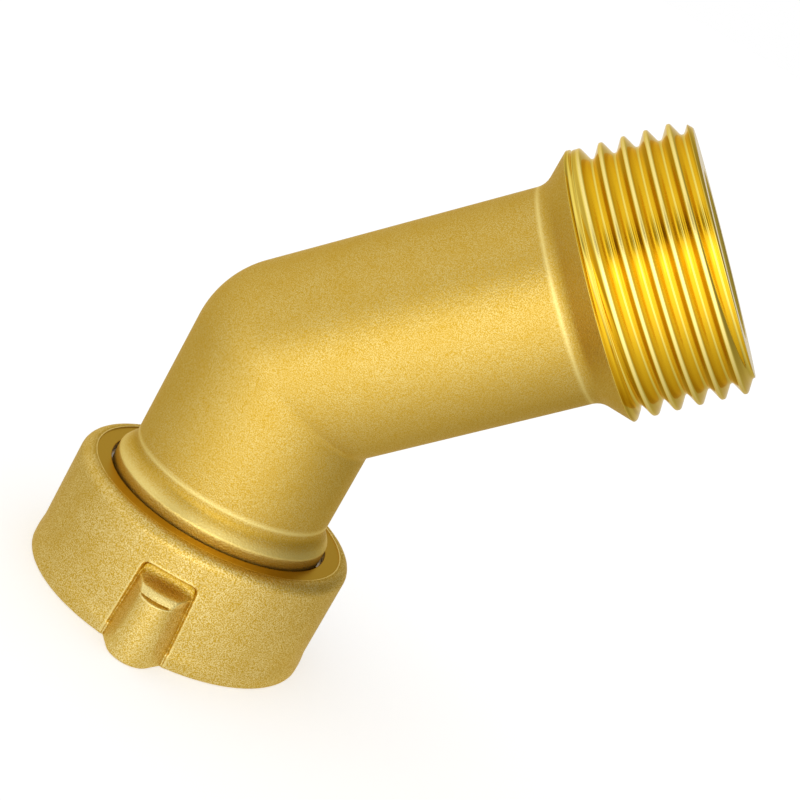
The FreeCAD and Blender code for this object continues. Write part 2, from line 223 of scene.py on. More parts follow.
# Painted light and wear of the nut: painted shade in the slot's corner creases and in its pocket, a pale line
# round the slot that is partly a rubbed edge and partly a painted highlight, a rubbed sill, and on the lug a
# painted shade line along its lip with painted highlights below and above it
CREASE_START = 0.03
CREASE_DEPTH = 0.20
CREASE_MOST = 0.5
CREASE_EDGE = 0.05
SLOT_LINE = 0.18
SLOT_LINE_WIDTH = 0.12
SLOT_LINE_WEAR_AND_HIGHLIGHT = 0.6
SLOT_LINE_TOP_WEAR_AND_HIGHLIGHT = 0.4
SLOT_LINE_RISE = 1.5
SILL_WEAR = 0.9
SILL_MARGIN = 0.1
SILL_SLACK = 0.08
POCKET_SHADE = 0.40
POCKET_TOP_SHADE = 0.35
POCKET_TOP = (8.0, 8.5)
POCKET_HALF = 3.0
POCKET_DEPTH = (0.1, 0.5)
POCKET_RISE = 0.15
LIP_SHADE = 1.8
BELOW_LIP_HIGHLIGHT = 0.9
BELOW_LIP_LINE = LUG_TOP - 0.14
BELOW_LIP_WIDTH = 0.06
BELOW_LIP_HALF = (1.7, 2.1)
LUG_TOP_HIGHLIGHT = 0.6
LUG_TOP_SPAN = (LUG_TOP + 0.05, LUG_TOP + 0.2, LUG_BACK - 0.1, LUG_BACK + 0.05)
LUG_TOP_HALF = (2.2, 2.7)

# Lines round the machined face: a pale one, and a dark one that is fainter in places. Each has its
# middle and its width.
FACE_LINE = (13.99, 0.07)
OUTER_LINE = (14.15, 0.06)
OUTER_FAINTER = 0.25
OUTER_WAVES = (41, 13)
LINES_ABOVE = 12.4

# Limits of the working out
ARC_STEP = math.radians(15)
TINY = 1e-12


def rounded(corners):
    """Polyline through (a, b, radius) corners, each replaced by an arc of its radius."""
    out = []
    for index, (a, b, radius) in enumerate(corners):
        here = np.array((a, b), float)
        if radius <= 0 or index in (0, len(corners) - 1):
            out.append(here)
            continue
        before = np.array(corners[index - 1][:2], float) - here
        after = np.array(corners[index + 1][:2], float) - here
        before /= np.linalg.norm(before)
        after /= np.linalg.norm(after)
        half = math.acos(np.clip(np.dot(before, after), -1, 1)) / 2
        run = radius / math.tan(half)
        centre = here + (before + after) / np.linalg.norm(before + after) * radius / math.sin(half)
        first = here + before * run - centre
        last = here + after * run - centre
        sweep = math.atan2(first[0] * last[1] - first[1] * last[0], np.dot(first, last))
        steps = max(2, int(abs(sweep) / ARC_STEP) + 1)
        for step in range(steps + 1):
            angle = sweep * step / steps
            turned = np.array(((math.cos(angle), -math.sin(angle)), (math.sin(angle), math.cos(angle))))
            out.append(centre + turned @ first)
    return np.array(out)


def spread(line, longest):
    """The polyline with its long runs divided."""
    out = [line[0]]
    for start, end in zip(line[:-1], line[1:]):
        steps = max(1, int(math.ceil(np.linalg.norm(end - start) / longest)))
        out.extend(start + (end - start) * (step + 1) / steps for step in range(steps))
    return np.array(out)


def step_between(low, high, value):
    """Smooth step from 0 at low to 1 at high."""
    share = np.clip((value - low) / (high - low), 0, 1)
    return share * share * (3 - 2 * share)


def plateau(value, start, full, fade, end):
    """0 up to start, 1 from full to fade, and 0 again from end on."""
    return step_between(start, full, value) * step_between(end, fade, value)


def within(value, full, end):
    """1 up to full, and 0 from end on."""
    return step_between(end, full, value)


def bell(value, middle, width):
    """1 at the middle, and falling smoothly on both sides of it."""
    return np.exp(-((value - middle) / width) ** 2)


def painted_light_lines(value, lines):
    """Sum of lines, each given by its strength, its middle and its width."""
    return sum(strength * bell(value, middle, width) for strength, middle, width in lines)


def soft_min(first, second, width):
    """Smaller of two values, with the corner between them rounded."""
    gap = np.maximum(width - np.abs(first - second), 0) / width
    return np.minimum(first, second) - gap * gap * width / 4


def soft_max(first, second, width):
    """Larger of two values, with the corner between them rounded."""
    return -soft_min(-first, -second, width)


class Shell:
    """Rows of points that each run once round a piece. Every point keeps two values:
    worked, for turned metal, and painted light and wear, above 0 where it is pale, with painted highlights
    and some rubbed metal, and below 0 where it is dark, mostly with painted shade in creases, hollows and
    flanks."""

    def __init__(self, shape):
        self.shape = shape
        self.rows = []
        self.worked = []
        self.painted_light_and_wear = []

    def add(self, ring, worked, painted_light_and_wear=0.0):
        self.rows.append(ring)
        self.worked.append(np.full(self.shape, worked))
        self.painted_light_and_wear.append(np.broadcast_to(painted_light_and_wear, self.shape))


def shell_mesh(name, shell):
    """Closed mesh of a shell, whose last row joins its first."""
    points = np.array(shell.rows)
    count, columns = points.shape[:2]
    low, side = np.meshgrid(np.arange(count), np.arange(columns), indexing="ij")
    high, beside = (low + 1) % count, (side + 1) % columns
    quads = np.stack((low * columns + side, low * columns + beside,
                      high * columns + beside, high * columns + side), axis=-1).reshape(-1, 4)
    flat = points.reshape(-1, 3)
    corners = flat[quads]
    face = np.cross(corners[:, 2] - corners[:, 0], corners[:, 3] - corners[:, 1])
    volume = np.einsum("ij,ij->i", corners.mean(axis=1), face).sum()
    if volume < 0:
        quads = quads[:, ::-1]
        face = -face
    normals = np.zeros_like(flat)
    for corner in range(4):
        np.add.at(normals, quads[:, corner], face)
    normals /= np.maximum(np.linalg.norm(normals, axis=1, keepdims=True), TINY)
    mesh = bpy.data.meshes.new(name)
    mesh.vertices.add(len(flat))
    mesh.vertices.foreach_set("co", (flat * MM).ravel())
    mesh.loops.add(quads.size)
    mesh.loops.foreach_set("vertex_index", quads.ravel())
    mesh.polygons.add(len(quads))
    mesh.polygons.foreach_set("loop_start", np.arange(0, quads.size, 4))
    mesh.update(calc_edges=True)
    mesh.validate()
    mesh.polygons.foreach_set("use_smooth", np.ones(len(mesh.polygons), dtype=bool))
    mesh.normals_split_custom_set_from_vertices([tuple(normal) for normal in normals])
    for label, values in (("worked", shell.worked), ("painted_light_and_wear", shell.painted_light_and_wear)):
        layer = mesh.attributes.new(label, "FLOAT", "POINT")
        layer.data.foreach_set("value", np.array(values, float).ravel())
    piece = bpy.data.objects.new(name, mesh)
    bpy.context.scene.collection.objects.link(piece)
    return piece


# Elbow

turn = np.arange(ELBOW_COLUMNS) * 2 * math.pi / ELBOW_COLUMNS
thread_turn = np.mod(turn / (2 * math.pi) - 0.5, 1.0)
LEG_AXIS = np.array((math.sin(BEND), 0, math.cos(BEND)))
LEG_SIDE = np.array((math.cos(BEND), 0, -math.sin(BEND)))
ACROSS = np.array((0, 1.0, 0))


def upright_ring(radius, height):
    """Row of points round the upright leg."""
    radius = np.broadcast_to(radius, turn.shape)
    height = np.broadcast_to(height, turn.shape)
    return np.stack((radius * np.cos(turn), radius * np.sin(turn), height), axis=-1)


def slanted_ring(radius, along):
    """Row of points round the slanted leg."""
    radius = np.broadcast_to(radius, turn.shape)[:, None]
    along = np.broadcast_to(along, turn.shape)[:, None]
    out = radius * (np.cos(turn)[:, None] * LEG_SIDE + np.sin(turn)[:, None] * ACROSS)
    return np.array((0, 0, BEND_HEIGHT)) + along * LEG_AXIS + out


def bend_rings(radius, soft, low_end, high_start, steps):
    """Rows of a tube from low_end on the upright leg, round the bend, to high_start on the other.
    Each line of the tube stays in a plane, and its corner is rounded by soft or by its own reach."""
    reach = radius * np.cos(turn)
    ease = soft_max(-reach, soft, 2 * soft)
    half = math.tan(BEND / 2)
    start = BEND_HEIGHT - reach * half - ease * half
    far = reach * half + ease * half
    rows = []
    for share in np.linspace(0, 1, STRAIGHT_ROWS)[:-1]:
        rows.append(upright_ring(radius, low_end + (start - low_end) * share))
    for share in np.linspace(0, 1, steps):
        angle = BEND * share
        x = reach + ease - ease * np.cos(angle)
        z = start + ease * np.sin(angle)
        rows.append(np.stack((x, radius * np.sin(turn), z), axis=-1))
    for share in np.linspace(0, 1, STRAIGHT_ROWS)[1:]:
        rows.append(slanted_ring(radius, far + (high_start - far) * share))
    return rows


def thread_radius(along):
    """Radius of the threaded end in each column, at a distance along the leg."""
    place = (along - FIRST_CREST) / PITCH - thread_turn
    off = np.abs(place - np.round(place)) * PITCH
    flank = CREST - (off - CREST_FLAT / 2) / FLANK_SLOPE
    form = soft_max(soft_min(flank, CREST, CREST_ROUND), CREST - DEPTH, ROOT_ROUND)
    root = (along - FIRST_ROOT) / PITCH - thread_turn
    begun = (thread_turn + np.round(root)) * 360
    cut = step_between(0, FADE_TURN, begun) ** FADE_POWER
    return CREST - (CREST - form) * cut


def thread_painted_light(along):
    """Painted highlight above 0 along the middle of the thread's crest, and painted shade below 0 on its
    flanks beside it.
    """
    place = (along - FIRST_CREST) / PITCH - thread_turn
    off = (place - np.round(place)) * PITCH
    crest = CREST_HIGHLIGHT * within(np.abs(off), *CREST_HIGHLIGHT_HALF)
    near_flank = NEAR_FLANK_SHADE * plateau(-off, *NEAR_FLANK_SPAN)
    far_flank = FAR_FLANK_SHADE * plateau(off, *FAR_FLANK_SPAN)
    return crest - near_flank - far_flank


def add_collar(shell):
    """Spigot, groove for the ring, and collar."""
    profile = spread(rounded([
        (BORE + SPIGOT_CHAMFER, SPIGOT_END, 0), (SPIGOT, SPIGOT_END, SPIGOT_CORNER),
        (SPIGOT, GROOVE_LOW, FINE_CORNER), (GROOVE, GROOVE_LOW, FINE_CORNER),
        (GROOVE, GROOVE_HIGH, FINE_CORNER), (SPIGOT, GROOVE_HIGH, FINE_CORNER),
        (SPIGOT, COLLAR_TOP, COLLAR_CORNER), (TUBE, SLOPE_TOP, SLOPE_CORNER), (TUBE, UPRIGHT_START, 0),
    ]), COLLAR_ROW)
    for radius, height in profile:
        worked = 1.0 if height < TURNED_TOP else 0.0
        # Painted highlight lines and a painted shade band round the shoulder.
        shell.add(upright_ring(radius, height), worked, painted_light_lines(height, COLLAR_LINES))


def add_flare(shell):
    """Flare at 45 degrees, rim, and notch before the thread."""
    profile = spread(rounded([
        (TUBE, FLARE_START, 0), (TUBE, RIM_START - (RIM - TUBE), FLARE_HOLLOW), (RIM, RIM_START, RIM_CORNER),
        (RIM, RIM_END, RIM_CORNER), (RIM - NOTCH_DEPTH, NOTCH, FINE_CORNER),
        (CREST, NOTCH_END, FINE_CORNER), (CREST, THREAD_START, 0),
    ]), FLARE_ROW)
    for radius, along in profile:
        if along >= CUT_FROM:
            radius = np.minimum(radius, thread_radius(along) + CUT_SLACK)
        worked = 1.0 if along > TURNED_START else 0.0
        # Painted highlight in the hollow, painted shade lines at the rim and in the notch, and painted shade
        # over the flare's face.
        painted_light_and_wear = painted_light_lines(along, FLARE_LINES) - FLARE_SHADE * plateau(along, *FLARE_SHADE_SPAN)
        shell.add(slanted_ring(radius, along), worked, painted_light_and_wear)


def add_thread(shell):
    """Thread up to its chamfered end, and the end's face."""
    for along in np.arange(FIRST_THREAD_ROW, REACH - END_GAP, THREAD_ROW):
        radius = soft_min(thread_radius(along), CREST - END_CHAMFER + (REACH - along), END_CHAMFER_ROUND)
        shell.add(slanted_ring(radius, along), 1.0, thread_painted_light(along))
    edge = soft_min(thread_radius(REACH), CREST - END_CHAMFER, END_CHAMFER_ROUND) - FINE_CORNER
    for share in np.linspace(0, 1, END_ROWS):
        shell.add(slanted_ring(edge * (1 - share) + (BORE + MOUTH_CHAMFER) * share, REACH), 1.0)


def add_waterway(shell):
    """Waterway from the threaded end back to the spigot's."""
    mouth = rounded([
        (BORE + MOUTH_CHAMFER, REACH, 0), (BORE, REACH - MOUTH_CHAMFER, MOUTH_CORNER),
        (BORE, REACH - MOUTH_DEPTH, 0),
    ])
    for radius, along in mouth[1:]:
        shell.add(slanted_ring(radius, along), 1.0)
    low_end = SPIGOT_END + MOUTH_DEPTH
    high_start = REACH - MOUTH_DEPTH - ROW_GAP
    for ring in bend_rings(BORE, BORE_BEND, low_end, high_start, BORE_BEND_ROWS)[::-1]:
        shell.add(ring, BORE_SHINE)
    shell.add(upright_ring(BORE, SPIGOT_END + SPIGOT_CHAMFER), 1.0)


def elbow_shell():
    shell = Shell(turn.shape)
    add_collar(shell)
    for ring in bend_rings(TUBE, TUBE_BEND, UPRIGHT_START + ROW_GAP, FLARE_START - ROW_GAP, TUBE_BEND_ROWS):
        shell.add(ring, 0.0)
    add_flare(shell)
    add_thread(shell)
    add_waterway(shell)
    return shell


elbow = shell_mesh("cast_elbow", elbow_shell())
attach(elbow, "elbow")
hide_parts("elbow_body")

# Swivel nut


def slot_half(height):
    """Half width of the slot at a height, with its rounded upper corners."""
    half = SLOT_HALF_BASE + (SLOT_HALF_TOP - SLOT_HALF_BASE) * height / SLOT_TOP
    corner = np.clip((height - (SLOT_TOP - SLOT_CORNER)) / SLOT_CORNER, 0, 1)
    return half - SLOT_CORNER * (1 - np.sqrt(1 - corner * corner))


def slot_distance(across, height):
    """Distance from the slot's outline, and 0 inside it."""
    side = slot_half(np.clip(height, 0.0, SLOT_TOP))
    return np.hypot(np.maximum(np.abs(across) - side, 0), np.maximum(height - SLOT_TOP, 0))


def foot_swell(height):
    """How far the nut's skin swells out towards its foot."""
    return SWELL * step_between(SWELL_TOP, SWELL_FULL, height)


def lug_reach(across, height):
    """How far the lug reaches: its crown and flanks, and its rolled top."""
    off = np.abs(across)
    crown = CROWN_BASE - CROWN_DRAFT * np.clip(height / CROWN_DRAFT_RISE, 0, 1)
    touch = crown * math.cos(LUG_FLANK)
    dome = CROWN_AXIS + np.sqrt(np.maximum(crown ** 2 - off ** 2, 0))
    flank = CROWN_AXIS + crown * math.sin(LUG_FLANK) - (off - touch) / math.tan(LUG_FLANK)
    lug = np.where(off < touch, dome, flank)
    rise = np.clip((height - LUG_TOP) / (LUG_BACK - LUG_TOP), 0, 1) ** LUG_ROLL_POWER
    sides = (off / slot_half(np.minimum(height, SLOT_TOP))) ** 2
    roll = LUG_LIP_REACH - (LUG_LIP_REACH - LUG_BACK_REACH) * rise - LUG_ROLL_SIDES * sides
    return np.where(height < LUG_TOP, lug, np.minimum(lug, roll))


def front_reach(across, height):
    """How far the nut reaches from its own axis, square to a slot's floor, beside that slot."""
    skin = np.sqrt(np.maximum((NUT + foot_swell(height)) ** 2 - across ** 2, 1))
    skin = skin + RIM_LIP * bell(slot_distance(across, height), 0, RIM_LIP_WIDTH)
    inside = (np.abs(across) < slot_half(np.minimum(height, SLOT_TOP))) & (height < SLOT_TOP)
    floor = np.where(height < SILL_TOP, SILL_FLOOR, SLOT_FLOOR)
    floor = np.where(height > LUG_BACK, POCKET_REACH, floor)
    reach = np.where(inside, np.minimum(floor, skin), skin)

    # The lug stands on this skin, and inside the slot its back falls away to the pocket
    lug = lug_reach(across, height)
    fall = np.exp(-np.maximum(height - LUG_BACK, 0) / LUG_BACK_FALL)
    behind = reach + np.maximum(lug - reach, 0) * fall
    return np.where(inside, behind, np.where(height < LUG_BACK, np.maximum(reach, lug), reach))


def blurred(values, width):
    """Gaussian blur of a table whose points are SKIN_STEP apart, so that cast edges come out soft."""
    reach = int(3 * width / SKIN_STEP) + 1
    kernel = np.exp(-0.5 * (np.arange(-reach, reach + 1) * SKIN_STEP / width) ** 2)
    kernel /= kernel.sum()
    for axis in (1, 0):
        pad = [(0, 0), (0, 0)]
        pad[axis] = (reach, reach)
        padded = np.pad(values, pad, mode="edge")
        values = sum(weight * np.take(padded, range(k, k + values.shape[axis]), axis=axis)
                     for k, weight in enumerate(kernel))
    return values


def slot_wear_and_painted_light(across, up, skin):
    """Painted light and wear of the slot: painted shade in the creases of its corners, a pale line round it
    that is partly a rubbed edge and partly a painted highlight, a rubbed sill, and painted shade in the
    pocket.
    """
    off = np.abs(across)
    apart = slot_distance(across, up)
    # Painted shade in the slot's concave corners and creases.
    bulge = skin - blurred(skin, CREASE_FIND_SOFT)
    crease_shade = np.clip((bulge + CREASE_START) / CREASE_DEPTH, -CREASE_MOST, 0) * (apart < CREASE_EDGE)
    # Pale line round the slot: partly a rubbed edge, partly a painted highlight.
    line = SLOT_LINE_WEAR_AND_HIGHLIGHT + SLOT_LINE_TOP_WEAR_AND_HIGHLIGHT * step_between(SLOT_TOP - SLOT_LINE_RISE, SLOT_TOP, up)
    line = line * bell(apart, SLOT_LINE, SLOT_LINE_WIDTH)
    in_slot = off < slot_half(np.clip(up, 0.0, SLOT_TOP))
    sill = SILL_WEAR * ((up < SILL_TOP - SILL_MARGIN) * in_slot * (skin < SILL_FLOOR + SILL_SLACK))
    # Painted shade in the pocket behind the lug, deeper towards its top.
    hollow = step_between(*POCKET_DEPTH, (NUT - skin) * (off < POCKET_HALF))
    hollow = hollow * step_between(LUG_BACK, LUG_BACK + POCKET_RISE, up)
    pocket_shade = (POCKET_SHADE + POCKET_TOP_SHADE * step_between(*POCKET_TOP, up)) * hollow
    return crease_shade + line + sill - pocket_shade


def slot_tables():
    """How far the nut reaches beside a slot, and its painted light and wear, by height and distance across.
    """
    across_line = np.arange(-SKIN_SIDE, SKIN_SIDE + SKIN_STEP / 2, SKIN_STEP)
    up_line = np.arange(SKIN_LOW, SKIN_TOP + SKIN_STEP / 2, SKIN_STEP)
    up, across = np.meshgrid(up_line, across_line, indexing="ij")
    skin = blurred(front_reach(across, np.maximum(up, 0.0)), CAST_SOFT)
    painted_light_and_wear = slot_wear_and_painted_light(across, up, skin)

    # A fine crease runs along the lug's lip and gets painted shade, with a painted highlight line below it
    # and a painted highlight on the face above
    off = np.abs(across)
    lip = bell(up, LIP_LINE, LIP_WIDTH) * within(np.abs(across + LIP_SHIFT), *LIP_HALF)
    below = bell(up, BELOW_LIP_LINE, BELOW_LIP_WIDTH) * within(off, *BELOW_LIP_HALF)
    above = plateau(up, *LUG_TOP_SPAN) * within(off, *LUG_TOP_HALF)
    painted_light_and_wear = painted_light_and_wear + BELOW_LIP_HIGHLIGHT * below + LUG_TOP_HIGHLIGHT * above - LIP_SHADE * lip
    return skin - LIP_GROOVE * lip, np.clip(painted_light_and_wear, -1, 1)


def between(table, across, height):
    """Value of one of the two tables between its points."""
    a = np.clip((across + SKIN_SIDE) / SKIN_STEP, 0, table.shape[1] - LAST_CELL)
    u = np.clip((height - SKIN_LOW) / SKIN_STEP, 0, table.shape[0] - LAST_CELL)
    i, j = a.astype(int), u.astype(int)
    p, q = a - i, u - j
    low = table[j, i] * (1 - p) + table[j, i + 1] * p
    high = table[j + 1, i] * (1 - p) + table[j + 1, i + 1] * p
    return low * (1 - q) + high * q


def nut_columns():
    """Angles of the nut's columns, close together beside the two slots."""
    fine = np.linspace(-FINE_SIDE, FINE_SIDE, FINE_COLUMNS) / NUT
    coarse = np.linspace(FINE_SIDE / NUT, math.pi - FINE_SIDE / NUT, COARSE_COLUMNS)[1:-1]
    half = np.concatenate((fine, coarse))
    return np.concatenate((half, half + math.pi))


skin_table, painted_light_and_wear_table = slot_tables()
columns = nut_columns()


def nut_ring(radius, height):
    """Row of points round the nut."""
    radius = np.broadcast_to(radius, columns.shape)
    height = np.broadcast_to(height, columns.shape)
    angle = columns - math.pi / 2 + NUT_TURN
    return np.stack((radius * np.cos(angle), radius * np.sin(angle), height), axis=-1)


def nut_skin(height):
    """Outer radius of the nut in each column, and its painted light and wear. Beside a slot they come from
    the tables.
    """
    plain = NUT + foot_swell(np.full(columns.shape, height))
    angle = np.mod(columns + math.pi / 2, math.pi) - math.pi / 2
    radius, painted_light_and_wear = plain.copy(), np.zeros(columns.shape)
    near = np.abs(angle) < FINE_LIMIT / NUT
    local = angle[near]
    level = np.full(local.shape, height)
    guess = plain[near].copy()
    for attempt in range(SKIN_PASSES):
        across = guess * np.sin(local)
        guess = 0.5 * guess + 0.5 * between(skin_table, across, level) / np.cos(local)
    share = within(np.abs(local), FINE_BLEND / NUT, FINE_SIDE / NUT)
    radius[near] = guess * share + plain[near] * (1 - share)
    painted_light_and_wear[near] = between(painted_light_and_wear_table, guess * np.sin(local), level) * share
    return radius, painted_light_and_wear


def add_foot(shell):
    """Lower face, out to the softened lower edge."""
    inner = SOCKET + SOCKET_MOUTH
    outer = nut_skin(FOOT_LEVEL)[0] - FOOT_ROUND
    for share in np.linspace(0, 1, FOOT_ROWS):
        shell.add(nut_ring(inner * (1 - share) + outer * share, 0.0), FOOT_SHINE)
    for angle in np.linspace(0, math.pi / 2, FOOT_ROUND_ROWS)[1:]:
        shell.add(nut_ring(outer + FOOT_ROUND * math.sin(angle), FOOT_ROUND * (1 - math.cos(angle))), 0.0)


def add_skin(shell):
    """Outside of the nut with its slots and lugs."""
    for height in np.concatenate([np.arange(*span) for span in SKIN_ROWS]):
        radius, painted_light_and_wear = nut_skin(height)
        shell.add(nut_ring(radius, height), 0.0, painted_light_and_wear)


def add_top(shell):
    """Rounded upper edge, the fine step, the machined face, and the hole down to the washer's recess."""
    profile = spread(rounded([
        (NUT, EDGE_START, 0), (NUT, EDGE_TOP, EDGE_ROUND), (OUTER_ROW, EDGE_TOP, 0), (INNER_ROW, EDGE_TOP, 0),
        (FACE_EDGE, EDGE_TOP, FACE_CORNER), (FACE_EDGE - FACE_SLANT, FACE, FACE_CORNER),
        (FACE_ROW, FACE, 0), (HOLE, FACE, HOLE_CORNER),
        (HOLE, GROOVE_HIGH, FINE_CORNER), (RING_SEAT, GROOVE_HIGH, FINE_CORNER),
        (RING_SEAT, GROOVE_LOW, FINE_CORNER), (HOLE, GROOVE_LOW, FINE_CORNER),
        (HOLE, SPIGOT_END, FINE_CORNER), (RECESS, SPIGOT_END, FINE_CORNER),
        (RECESS, SOCKET_DEPTH, FINE_CORNER), (SOCKET + SOCKET_STEP, SOCKET_DEPTH, 0),
    ]), TOP_ROW)
    fast, slow = OUTER_WAVES
    broken = 1 - OUTER_FAINTER * (1 - np.sin(fast * columns) * np.sin(slow * columns + 1.0))
    for radius, height in profile[1:]:
        worked = 1.0 if radius < TURNED_EDGE else 0.0
        lines = bell(radius, *FACE_LINE) - broken * bell(radius, *OUTER_LINE)
        shell.add(nut_ring(radius, height), worked, lines if height > LINES_ABOVE else 0.0)


def add_socket(shell):
    """Female thread down to the chamfered mouth."""
    thread = np.mod(columns / (2 * math.pi), 1.0)
    fade_full, fade_end = SOCKET_FADE
    for height in np.arange(SOCKET_DEPTH - SOCKET_FIRST, SOCKET_LAST, -SOCKET_ROW):
        place = height / PITCH - thread
        off = np.abs(place - np.round(place)) * PITCH
        cut = np.clip(SOCKET_CUT - (off - SOCKET_FLAT) / FLANK_SLOPE, 0, SOCKET_CUT)
        fade = within(height, SOCKET_DEPTH - fade_full, SOCKET_DEPTH - fade_end)
        mouth = SOCKET + SOCKET_MOUTH - height
        shell.add(nut_ring(np.maximum(SOCKET + cut * fade, mouth), height), 1.0)


def nut_shell():
    shell = Shell(columns.shape)
    add_foot(shell)
    add_skin(shell)
    add_top(shell)
    add_socket(shell)
    return shell


nut = shell_mesh("grip_nut", nut_shell())
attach(nut, "nut")
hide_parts("swivel_nut")

# Materials


def node(tree, kind, **values):
    """New node of a kind, with its settings."""
    item = tree.nodes.new(kind)
    for name, value in values.items():
        setattr(item, name, value)
    return item


def noise(tree, vector, scale, detail):
    item = node(tree, "ShaderNodeTexNoise")
    item.inputs["Scale"].default_value = scale
    item.inputs["Detail"].default_value = detail
    tree.links.new(vector, item.inputs["Vector"])
    return item.outputs["Fac"]


def ranged(tree, value, low_in, high_in, low_out, high_out):
    """A value mapped from one range to another."""
    item = node(tree, "ShaderNodeMapRange")
    for index, number in enumerate((low_in, high_in, low_out, high_out), start=1):
        item.inputs[index].default_value = number
    tree.links.new(value, item.inputs[0])
    return item.outputs[0]


def fill(tree, socket, value):
    """Link a socket to another node's output, or set it to a plain value."""
    if hasattr(value, "is_output"):
        tree.links.new(value, socket)
    else:
        socket.default_value = value


def mixed(tree, share, first, second, kind="RGBA"):
    """Mix of two colours, or of two numbers where the kind is FLOAT."""
    item = node(tree, "ShaderNodeMix", data_type=kind)
    first_socket, second_socket, output = (6, 7, 2) if kind == "RGBA" else (2, 3, 0)
    fill(tree, item.inputs[0], share)
    fill(tree, item.inputs[first_socket], first)
    fill(tree, item.inputs[second_socket], second)
    return item.outputs[output]


def mixed_shaders(tree, share, first, second):
    item = node(tree, "ShaderNodeMixShader")
    for socket, value in zip(item.inputs, (share, first, second)):
        tree.links.new(value, socket)
    return item.outputs[0]


def bumped(tree, shader, height, strength, distance):
    """Raise a shader's surface by a height."""
    bump = node(tree, "ShaderNodeBump")
    bump.inputs["Distance"].default_value = distance
    fill(tree, bump.inputs["Strength"], strength)
    tree.links.new(height, bump.inputs["Height"])
    tree.links.new(bump.outputs["Normal"], shader.inputs["Normal"])


GRAIN_DETAIL = 3.0
TIP_SCALE = 1.7
TIP_SPAN = (0.42, 0.58)
CLOUD_SIZE = 420.0
CLOUD_SPAN = (0.40, 0.75)
CLOUD_MOST = 0.35
PLAIN_DETAIL = 2.0
LATHE_MARKS = (60.0, 60.0, 9000.0)
BRASS_BUMP = 0.00012
TURNED_DEPTH = 0.012
# Colour and roughness of the marks: pale ones are painted highlights and some rubbed metal, dark ones are
# mostly painted shade
HIGHLIGHT_AND_WORN_ROUGH = 0.24
SHADE_AND_MARK_COLOUR = (0.47, 0.27, 0.006, 1)
SHADE_AND_MARK_SHARE = 0.75
EDGE_TINT = (1.0, 0.85, 0.50, 1)


def brass(name, grain_size, grain_depth, rough, high, low, turned, turned_rough, highlight_and_worn, lathe):
    """Cast brass whose grain has pale, smoother tips and deeper, duller pits.
    Where worked is high the surface is turned bright, with fine marks round the lathe's axis."""
    material = bpy.data.materials.new(name)
    material.use_nodes = True
    tree = material.node_tree
    tree.nodes.clear()
    output = node(tree, "ShaderNodeOutputMaterial")
    shader = node(tree, "ShaderNodeBsdfPrincipled")
    tree.links.new(shader.outputs[0], output.inputs["Surface"])
    shader.inputs["Metallic"].default_value = 1.0
    shader.inputs["Specular Tint"].default_value = EDGE_TINT
    place = node(tree, "ShaderNodeTexCoord").outputs["Object"]
    worked = node(tree, "ShaderNodeAttribute", attribute_name="worked").outputs["Fac"]
    painted_light_and_wear = node(tree, "ShaderNodeAttribute", attribute_name="painted_light_and_wear").outputs["Fac"]
    # Share of the pale marks, painted highlights and some rubbed metal, and of the dark marks, mostly painted
    # shade
    highlight_and_rub = ranged(tree, painted_light_and_wear, 0.0, 1.0, 0.0, 1.0)
    shade_and_marks = ranged(tree, painted_light_and_wear, -1.0, 0.0, SHADE_AND_MARK_SHARE, 0.0)

    # Colour: grain and clouds, then the turned metal, then the pale marks, painted highlights and some rubbed
    # metal, then the dark marks, mostly painted shade
    tips = ranged(tree, noise(tree, place, TIP_SCALE * grain_size, PLAIN_DETAIL), *TIP_SPAN, 0.0, 1.0)
    clouds = ranged(tree, noise(tree, place, CLOUD_SIZE, PLAIN_DETAIL), *CLOUD_SPAN, 0.0, CLOUD_MOST)
    skin = mixed(tree, clouds, mixed(tree, tips, low, high), low)
    finished = mixed(tree, highlight_and_rub, mixed(tree, worked, skin, turned), highlight_and_worn)
    tree.links.new(mixed(tree, shade_and_marks, finished, SHADE_AND_MARK_COLOUR), shader.inputs["Base Color"])

    # Roughness, from pit to tip of the grain
    grain_rough = ranged(tree, tips, 0.0, 1.0, *rough)
    dull = mixed(tree, worked, grain_rough, turned_rough, "FLOAT")
    tree.links.new(mixed(tree, highlight_and_rub, dull, HIGHLIGHT_AND_WORN_ROUGH, "FLOAT"), shader.inputs["Roughness"])

    # Surface: grain on the cast skin, and lathe marks where it is turned
    along = node(tree, "ShaderNodeMapping")
    along.inputs["Rotation"].default_value = (0, lathe, 0)
    along.inputs["Scale"].default_value = LATHE_MARKS
    tree.links.new(place, along.inputs["Vector"])
    marks = noise(tree, along.outputs["Vector"], 1.0, PLAIN_DETAIL)
    height = mixed(tree, worked, noise(tree, place, grain_size, GRAIN_DETAIL), marks, "FLOAT")
    strength = mixed(tree, worked, grain_depth, TURNED_DEPTH, "FLOAT")
    bumped(tree, shader, height, strength, BRASS_BUMP)
    return material


elbow.data.materials.append(brass(
    "cast_brass_skin", grain_size=5600.0, grain_depth=0.34, rough=(0.50, 0.33),
    high=(0.67, 0.50, 0.155, 1), low=(0.59, 0.365, 0.035, 1),
    turned=(0.87, 0.68, 0.13, 1), turned_rough=0.10, highlight_and_worn=(0.98, 0.82, 0.32, 1), lathe=-BEND))
# The nut's turned colour is darker than the elbow's: it holds painted shade for the machined face that sits
# under the collar.
nut.data.materials.append(brass(
    "blasted_brass_skin", grain_size=4800.0, grain_depth=0.55, rough=(0.44, 0.29),
    high=(0.82, 0.65, 0.27, 1), low=(0.58, 0.36, 0.03, 1),
    turned=(0.50, 0.30, 0.04, 1), turned_rough=0.30, highlight_and_worn=(0.98, 0.81, 0.34, 1), lathe=0.0))

PLAIN_DARKER = 0.75
PLAIN_LIGHTER = 1.2
PLAIN_ROUGH_SPAN = 0.06
PLAIN_BUMP = 0.0001


